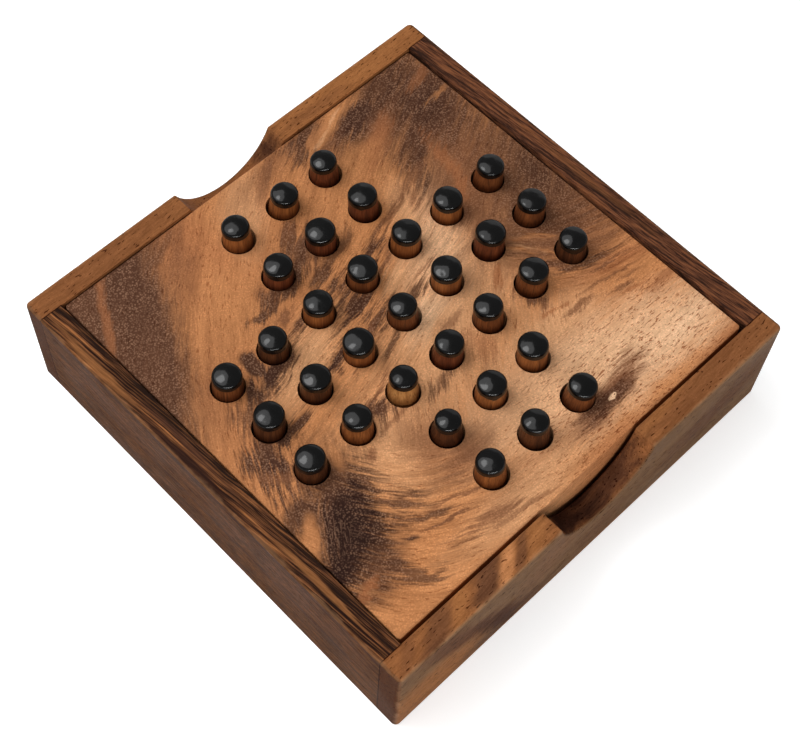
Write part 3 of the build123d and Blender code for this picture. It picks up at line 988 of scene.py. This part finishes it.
def striped_wood(name, side, tones, balance, run, top_strokes, side_strokes):
    """Striped wood of a short rail. Side is -1 on the left and 1 on the right.

    Run is how fast a stripe changes along the rail: low for long stripes.
    """
    made, tree, shader = new_material(name)
    place = wood_coordinates(tree)
    axes = put(tree, "ShaderNodeSeparateXYZ", {0: place}).outputs
    drifting = wander(tree, place, 1.3, 0.05)
    waved = use(tree, flow, {"Place": drifting, "Heading": math.radians(95)})[0]
    threads = use(tree, grain, {"Flow": waved})
    fray = reckon(tree, "SUBTRACT", threads["Streaks"], 0.5)
    fine = noise(tree, waved, (run, 1.9, 1.2), detail=3.0, rough=0.65)
    top = stripes(tree, waved, fine, tones, balance)
    top = paint(tree, top, drifting, fray, top_strokes, height=BOX_HEIGHT, depth=5)
    side_place = swapped(tree, drifting, "YZX")
    outside = brown_side(tree, side_place, fine, fray, side, side_strokes)
    colour = blend(tree, outer_face(tree, axes["X"], side), top, outside)
    colour = vary(tree, colour, threads["Fibres"], (0.80, 0.77, 0.74), (1.12, 1.12, 1.12))
    # Painted shade along the seams with the front and back rails
    colour = darken(tree, colour, near_seam(tree, axes["Y"], -1), tone(120, 88, 70))
    worn = use(tree, wear, {"Place": place})[0]
    colour = blend(tree, reckon(tree, "MULTIPLY", worn, 0.12), colour, TAN)
    tree.links.new(colour, shader.inputs["Base Color"])
    satin(tree, shader, worn, threads, specular=0.02)
    return made


finishes["left_rail"] = striped_wood("left_rail_wood", -1, LEFT_TONES, 0.05, 0.05,
                                     LEFT_TOP_STROKES, LEFT_SIDE_STROKES)
finishes["right_rail"] = striped_wood("right_rail_wood", 1, RIGHT_TONES, 0.0, 0.14,
                                      RIGHT_TOP_STROKES, RIGHT_SIDE_STROKES)
print("Finishes of the rails:", len(finishes))

# %% [markdown]
# ## The tray
# The tray under the board shows only when the board is lifted out. Its bottom
# and its two ledges are plain pieces of the same woods, with a few stains from
# use. They need no strokes, so one recipe with other tones does for all three.

# %% Wood of the tray
def tray_wood(name, turn, light, dark):
    """Plain oiled wood inside the box. Turn is the grain's heading in degrees."""
    made, tree, shader = new_material(name)
    place = wood_coordinates(tree)
    drifting = wander(tree, place, 4.0, 0.08)
    waved = use(tree, flow, {"Place": drifting, "Heading": math.radians(turn), "Bend": 0.0012})[0]
    threads = use(tree, grain, {"Flow": waved})
    colour = blend(tree, threads["Streaks"], dark, light)
    colour = vary(tree, colour, threads["Fibres"], (0.82, 0.79, 0.76), (1.10, 1.10, 1.10))
    pores = reckon(tree, "MULTIPLY", threads["Pores"], 0.6)
    colour = darken(tree, colour, pores, tone(140, 98, 72))
    stains = fade(tree, noise(tree, place, (0.05, 0.05, 0.05), detail=3.0), 0.45, 0.7)
    colour = darken(tree, colour, reckon(tree, "MULTIPLY", stains, 0.4), tone(190, 170, 155))
    tree.links.new(colour, shader.inputs["Base Color"])
    satin(tree, shader, 0.0, threads, specular=0.3)
    return made


finishes["bottom_panel"] = tray_wood("bottom_wood", 3, tone(190, 138, 94), tone(150, 98, 62))
finishes["left_ledge"] = tray_wood("left_ledge_wood", 91, tone(160, 108, 70), tone(118, 76, 48))
finishes["right_ledge"] = tray_wood("right_ledge_wood", 88, tone(168, 114, 74), tone(124, 80, 52))
for name, finish in finishes.items():
    nodes[name].data.materials.clear()
    nodes[name].data.materials.append(finish)
print("Finishes of the box:", len(finishes))

# %% [markdown]
# ## The pegs
# Each peg was turned from a thin rod and its head was dipped in black lacquer.
# The lacquer is a skin of its own, with a rounded lip, so it is a piece of its
# own: a cup with an inside and an outside. Both pieces are raised ring by ring
# from a disc, the way a lathe's profile is read from foot to top. A profile
# could also be spun round its axis, but then its seam would need merging.
# Painting the head black on one mesh would be easier, but no lip would catch
# the light. A profile is a list of radii and heights over the peg's foot, in
# millimetres. The cap's shoulder is an arc, and its crown is part of a ball.

# %% Turn one shaft and one cap
SHAFT_PROFILE = [
    (3.15, 0.0), (3.55, 0.4), (3.55, 5.0), (3.55, 9.0), (3.54, 10.4), (3.49, 11.4),
    (3.43, 12.4), (3.38, 13.4), (3.34, 14.2), (3.30, 14.85), (2.85, 15.0),
]
CAP_INSIDE = [(2.87, 15.04), (3.33, 14.88), (3.37, 14.25), (3.38, 14.02)]
CAP_LIP = [(3.42, 13.98), (3.46, 14.04), (3.47, 14.16), (3.45, 14.36), (3.43, 14.64)]
SHOULDER_RADIUS = 1.15
SHOULDER_MIDDLE = (2.27, 14.845)
SHOULDER_ANGLES = (2, 12, 24, 36, 47, 58)
PEG_LENGTH = 16.49
DOME_RADIUS = 6.6
DOME_RINGS = (2.7, 2.4, 2.0, 1.6, 1.2, 0.8, 0.4, 0.12)
# How wide a head is in these profiles
HEAD_RADIUS = 3.42
SMOOTH_ANGLE = math.radians(50)


def turn_on_lathe(name, profile, sides):
    """Raises a disc ring by ring through a profile of radii and heights."""
    bpy.ops.object.select_all(action="DESELECT")
    radius, height = profile[0]
    bpy.ops.mesh.primitive_circle_add(vertices=sides, radius=radius * MM, fill_type="NGON",
                                      location=(0, 0, height * MM))
    made = bpy.context.object
    made.name = name
    bpy.ops.object.transform_apply(location=True, rotation=False, scale=False)
    bpy.ops.object.mode_set(mode="EDIT")
    bpy.ops.mesh.select_all(action="SELECT")
    for next_radius, next_height in profile[1:]:
        rise = (0, 0, (next_height - height) * MM)
        bpy.ops.mesh.extrude_region_move(TRANSFORM_OT_translate={"value": rise})
        ratio = next_radius / radius
        bpy.ops.transform.resize(value=(ratio, ratio, 1), center_override=(0, 0, 0))
        radius, height = next_radius, next_height
    bpy.ops.mesh.select_all(action="SELECT")
    bpy.ops.mesh.normals_make_consistent(inside=False)
    bpy.ops.object.mode_set(mode="OBJECT")
    bpy.ops.object.shade_smooth_by_angle(angle=SMOOTH_ANGLE)
    return made


shoulder = []
for degrees in SHOULDER_ANGLES:
    angle = math.radians(degrees)
    shoulder.append((SHOULDER_MIDDLE[0] + SHOULDER_RADIUS * math.cos(angle),
                     SHOULDER_MIDDLE[1] + SHOULDER_RADIUS * math.sin(angle)))
dome_middle = PEG_LENGTH - DOME_RADIUS
dome = [(ring, dome_middle + math.sqrt(DOME_RADIUS**2 - ring**2)) for ring in DOME_RINGS]
first_shaft = turn_on_lathe("first_shaft", SHAFT_PROFILE, sides=40)
first_cap = turn_on_lathe("first_cap", CAP_INSIDE + CAP_LIP + shoulder + dome, sides=56)
print("Shaft and cap:", len(first_shaft.data.vertices), len(first_cap.data.vertices), "vertices")

# %% [markdown]
# The pegs stand loose, so each one leans its own way. Where it stands is read
# from its flat foot in the CAD model: the foot's middle is where the copy goes,
# and the foot looks straight down the peg's axis. The heads were dipped by
# hand, so they differ: each has one of six widths, a lip that waves, and here
# and there a run or a crater. These are small moves of the copy's own vertices,
# from a fixed seed, so that the same peg comes out every time.

# %% How the heads differ
HEAD_RADII = {"thin": 2.96, "slim": 3.15, "small": 3.25, "middling": 3.35, "full": 3.45, "broad": 3.54}
HEADS = {
    "thin": ["c2"],
    "slim": ["c3", "d1", "e7"],
    "small": ["b3", "b5", "c1", "c7", "d4", "d7", "e1", "g3", "g5"],
    "middling": ["a3", "a5", "c5", "c6", "d2", "d3", "e3", "g4"],
    "full": ["a4", "b4", "d5", "e2", "e5", "e6", "f3", "f5"],
    "broad": ["c4", "d6", "e4", "f4"],
}
# Runs of lacquer below the lip: the side of the peg in degrees from +X, the width and the length
RUNS = {
    "d2": [(-125, 14, 0.75), (-150, 8, 0.3)], "e6": [(-140, 12, 0.45)], "c4": [(-110, 16, 0.4)],
    "g3": [(-130, 20, 0.35)], "b4": [(-100, 12, 0.4)], "e3": [(-150, 10, 0.35)],
}
# Craters in the skin: how far out on the head, the side in degrees, the radius and the depth
CRATERS = {
    "b4": [(1.9, 150, 0.42, 0.10), (2.6, 120, 0.35, 0.09)], "e4": [(1.3, 20, 0.3, 0.07)],
    "f5": [(1.1, 60, 0.3, 0.06)], "g3": [(2.2, -120, 0.5, 0.10)], "g4": [(2.6, -80, 0.45, 0.10)],
    "b3": [(2.4, -60, 0.4, 0.08)], "d5": [(2.6, 160, 0.4, 0.08)], "c7": [(2.7, -110, 0.4, 0.08)],
}
# The heights between which each change sets in
NECK = (9.6, 13.0)
LIP = (14.95, 14.0)
CROWN = (15.4, 16.2)
LUMP = 0.055
LIP_WAVE = 0.09
CROWN_DENT = 0.12


def by_peg(groups):
    """Turns names with lists of pegs under them into pegs with a name each."""
    return {peg: name for name, group in groups.items() for peg in group}


def ramp(value, ends):
    """0 before the first end and 1 after the second, with a straight rise between them."""
    start, end = ends
    return min(max((value - start) / (end - start), 0), 1)


def around(angle, side, width):
    """1 on one side of a peg and 0 away from it, as a bell curve. All in degrees."""
    gap = (angle - side + 180) % 360 - 180
    return math.exp(-((gap / width) ** 2))


head_sizes = by_peg(HEADS)
print("Widths of head:", len(HEADS))

# %% Copy the pegs and place them
FOOT_FACING = -0.95


def stance(node):
    """The middle of a peg's flat foot and the way of its axis, from the CAD mesh."""
    middle, axis, area = Vector(), Vector(), 0
    for polygon in node.data.polygons:
        if polygon.normal.z < FOOT_FACING:
            middle += polygon.center * polygon.area
            axis -= polygon.normal * polygon.area
            area += polygon.area
    return middle / area, axis.normalized()


def shape_skin(name, x, y, z, waves, shift):
    """The new height of a point on the lacquer: lip, runs, craters and an uneven crown."""
    angle = math.degrees(math.atan2(y, x))
    wave = 0
    for turns, (start, size) in enumerate(waves, start=1):
        wave += size * math.sin(math.radians(angle * turns + start))
    run = sum(length * around(angle, side, width) for side, width, length in RUNS.get(name, []))
    z -= ramp(z, LIP) * (LIP_WAVE * wave + run)
    for out, side, radius, depth in CRATERS.get(name, []):
        crater_x = out * math.cos(math.radians(side))
        crater_y = out * math.sin(math.radians(side))
        gap = math.hypot(x - crater_x, y - crater_y) / radius
        if z > LIP[0] + 0.2:
            z -= depth * math.exp(-gap * gap)
    dent = perlin.noise(Vector((x, y, 7)) * 0.4 + shift) - 0.6
    return z + ramp(z, CROWN) * dent * CROWN_DENT


def shape_head(mesh, name, seed, skin):
    """Makes one copy's head its own: its width, its roundness and, on a cap, its skin."""
    scatter = random.Random(seed)
    waves = [(scatter.uniform(0, 360), scatter.uniform(0.5, 1.0)) for _ in range(3)]
    shift = Vector((scatter.uniform(0, 90), scatter.uniform(0, 90), scatter.uniform(0, 90)))
    wider = HEAD_RADII[head_sizes[name]] / HEAD_RADIUS - 1
    for vertex in mesh.vertices:
        x, y, z = vertex.co / MM
        share = ramp(z, NECK)
        lump = perlin.noise(Vector((x, y, z)) * 0.32 + shift) * LUMP * share
        widen = 1 + wider * share * share * (3 - 2 * share) + lump / max(math.hypot(x, y), 1.0)
        x, y = x * widen, y * widen
        if skin:
            z = shape_skin(name, x, y, z, waves, shift)
        vertex.co = Vector((x, y, z)) * MM


def place_copy(first, name, kind, seed, foot, axis, skin):
    """Copies the first shaft or cap, shapes its head and stands it in its hole."""
    made = first.copy()
    made.data = first.data.copy()
    made.name = f"{name}_{kind}"
    made.data.name = made.name
    bpy.context.scene.collection.objects.link(made)
    shape_head(made.data, name[4:], seed, skin)
    lean = Vector((0, 0, 1)).rotation_difference(axis).to_matrix().to_4x4()
    made.data.transform(Matrix.Translation(foot) @ lean)
    return made


peg_names = sorted(name for name in nodes if name.startswith("peg_") and name != "peg_board")
pegs = {}
for seed, name in enumerate(peg_names):
    foot, axis = stance(nodes[name])
    shaft = place_copy(first_shaft, name, "wood", seed, foot, axis, skin=False)
    cap = place_copy(first_cap, name, "cap", seed, foot, axis, skin=True)
    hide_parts(name)
    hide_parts(name)
    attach(shaft, name)
    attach(cap, name)
    pegs[name] = (shaft, cap)
bpy.data.objects.remove(first_shaft)
bpy.data.objects.remove(first_cap)
print("Pegs:", len(pegs))

# %% [markdown]
# The rods came from offcuts of several boards, so there are five woods, from a
# pale tan to a dark brown. Their fibres run up the peg. The lacquer is black
# and glossy but not flat: the dip left it faintly rippled, which spreads the
# softbox's reflection. A clear coat on a rougher body gives both the broad
# sheen and the small bright points that the photograph shows. One gloss for
# both would give only one of them.

# %% Peg woods and lacquer
HOLE_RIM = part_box("peg_board")[1].z / MM
ROD_RELIEF = 0.05 * MM
RIPPLE_HEIGHT = 0.16 * MM
BLACK = (0.0016, 0.0015, 0.0015, 1)
DUST = (0.015, 0.014, 0.013, 1)


def peg_wood(name, light, dark, line):
    """Straight wood of a turned rod, with its fibres upright."""
    made, tree, shader = new_material(name)
    place = wood_coordinates(tree)
    bands = fade(tree, noise(tree, place, (0.55, 0.55, 0.03), detail=2.0), 0.35, 0.65)
    fibres = fade(tree, noise(tree, place, (3.2, 3.2, 0.12), detail=2.0, rough=0.6), 0.3, 0.7)
    lines = fade(tree, noise(tree, place, (2.1, 2.1, 0.06), detail=1.0), 0.60, 0.70)
    colour = blend(tree, bands, light, dark)
    colour = vary(tree, colour, fibres, (0.80, 0.77, 0.74), (1.15, 1.14, 1.12))
    colour = blend(tree, reckon(tree, "MULTIPLY", lines, 0.6), colour, line)
    height = put(tree, "ShaderNodeSeparateXYZ", {0: place}).outputs["Z"]
    # Painted shade on the shaft where it goes into its hole
    hole_shade = fade(tree, height, HOLE_RIM + 3.2, HOLE_RIM, 0.0, 0.85)
    colour = darken(tree, colour, hole_shade, tone(150, 126, 108))
    tree.links.new(colour, shader.inputs["Base Color"])
    rough = fade(tree, fibres, 0.0, 1.0, 0.55, 0.40)
    tree.links.new(rough, shader.inputs["Roughness"])
    shader.inputs["Specular IOR Level"].default_value = 0.10
    bump = put(tree, "ShaderNodeBump", {"Strength": 0.5, "Distance": ROD_RELIEF, "Height": fibres})
    tree.links.new(bump.outputs[0], shader.inputs["Normal"])
    return made


def black_lacquer():
    """Dipped lacquer: deep black and faintly rippled, with specks of dust."""
    made, tree, shader = new_material("black_lacquer")
    place = wood_coordinates(tree)
    ripple = noise(tree, place, (0.42, 0.42, 0.42), detail=1.0)
    dust = fade(tree, noise(tree, place, (5.5, 5.5, 5.5), detail=1.0), 0.72, 0.80)
    colour = blend(tree, dust, BLACK, DUST)
    tree.links.new(colour, shader.inputs["Base Color"])
    rough = fade(tree, ripple, 0.3, 0.7, 0.36, 0.46)
    tree.links.new(rough, shader.inputs["Roughness"])
    shader.inputs["Specular IOR Level"].default_value = 0.06
    shader.inputs["Coat Weight"].default_value = 0.55
    shader.inputs["Coat Roughness"].default_value = 0.12
    bump = put(tree, "ShaderNodeBump", {"Strength": 0.7, "Distance": RIPPLE_HEIGHT, "Height": ripple})
    tree.links.new(bump.outputs[0], shader.inputs["Normal"])
    tree.links.new(bump.outputs[0], shader.inputs["Coat Normal"])
    return made


PEG_WOODS = {
    "orange": peg_wood("peg_wood_orange", tone(142, 86, 44), tone(118, 68, 34), tone(78, 42, 20)),
    "brown": peg_wood("peg_wood_brown", tone(118, 68, 36), tone(94, 52, 27), tone(60, 34, 18)),
    "red": peg_wood("peg_wood_red", tone(108, 57, 32), tone(84, 42, 24), tone(54, 28, 16)),
    "dark": peg_wood("peg_wood_dark", tone(86, 49, 27), tone(62, 34, 19), tone(38, 20, 12)),
    "tan": peg_wood("peg_wood_tan", tone(184, 132, 78), tone(158, 108, 60), tone(110, 70, 36)),
}
PEG_CHOICE = {
    "tan": ["c3"],
    "dark": ["a3", "a4", "b4", "b5", "c2", "d1", "g3"],
    "red": ["c6", "d3", "d6", "e6", "e7", "f4"],
    "brown": ["a5", "d4", "d5", "e1", "e3", "f3", "g4", "g5"],
}
lacquer = black_lacquer()
wood_names = by_peg(PEG_CHOICE)
for name, (shaft, cap) in pegs.items():
    wood = PEG_WOODS[wood_names.get(name[4:], "orange")]
    for piece, finish in ((shaft, wood), (cap, lacquer)):
        piece.data.materials.clear()
        piece.data.materials.append(finish)
print("Peg woods:", len(PEG_WOODS))
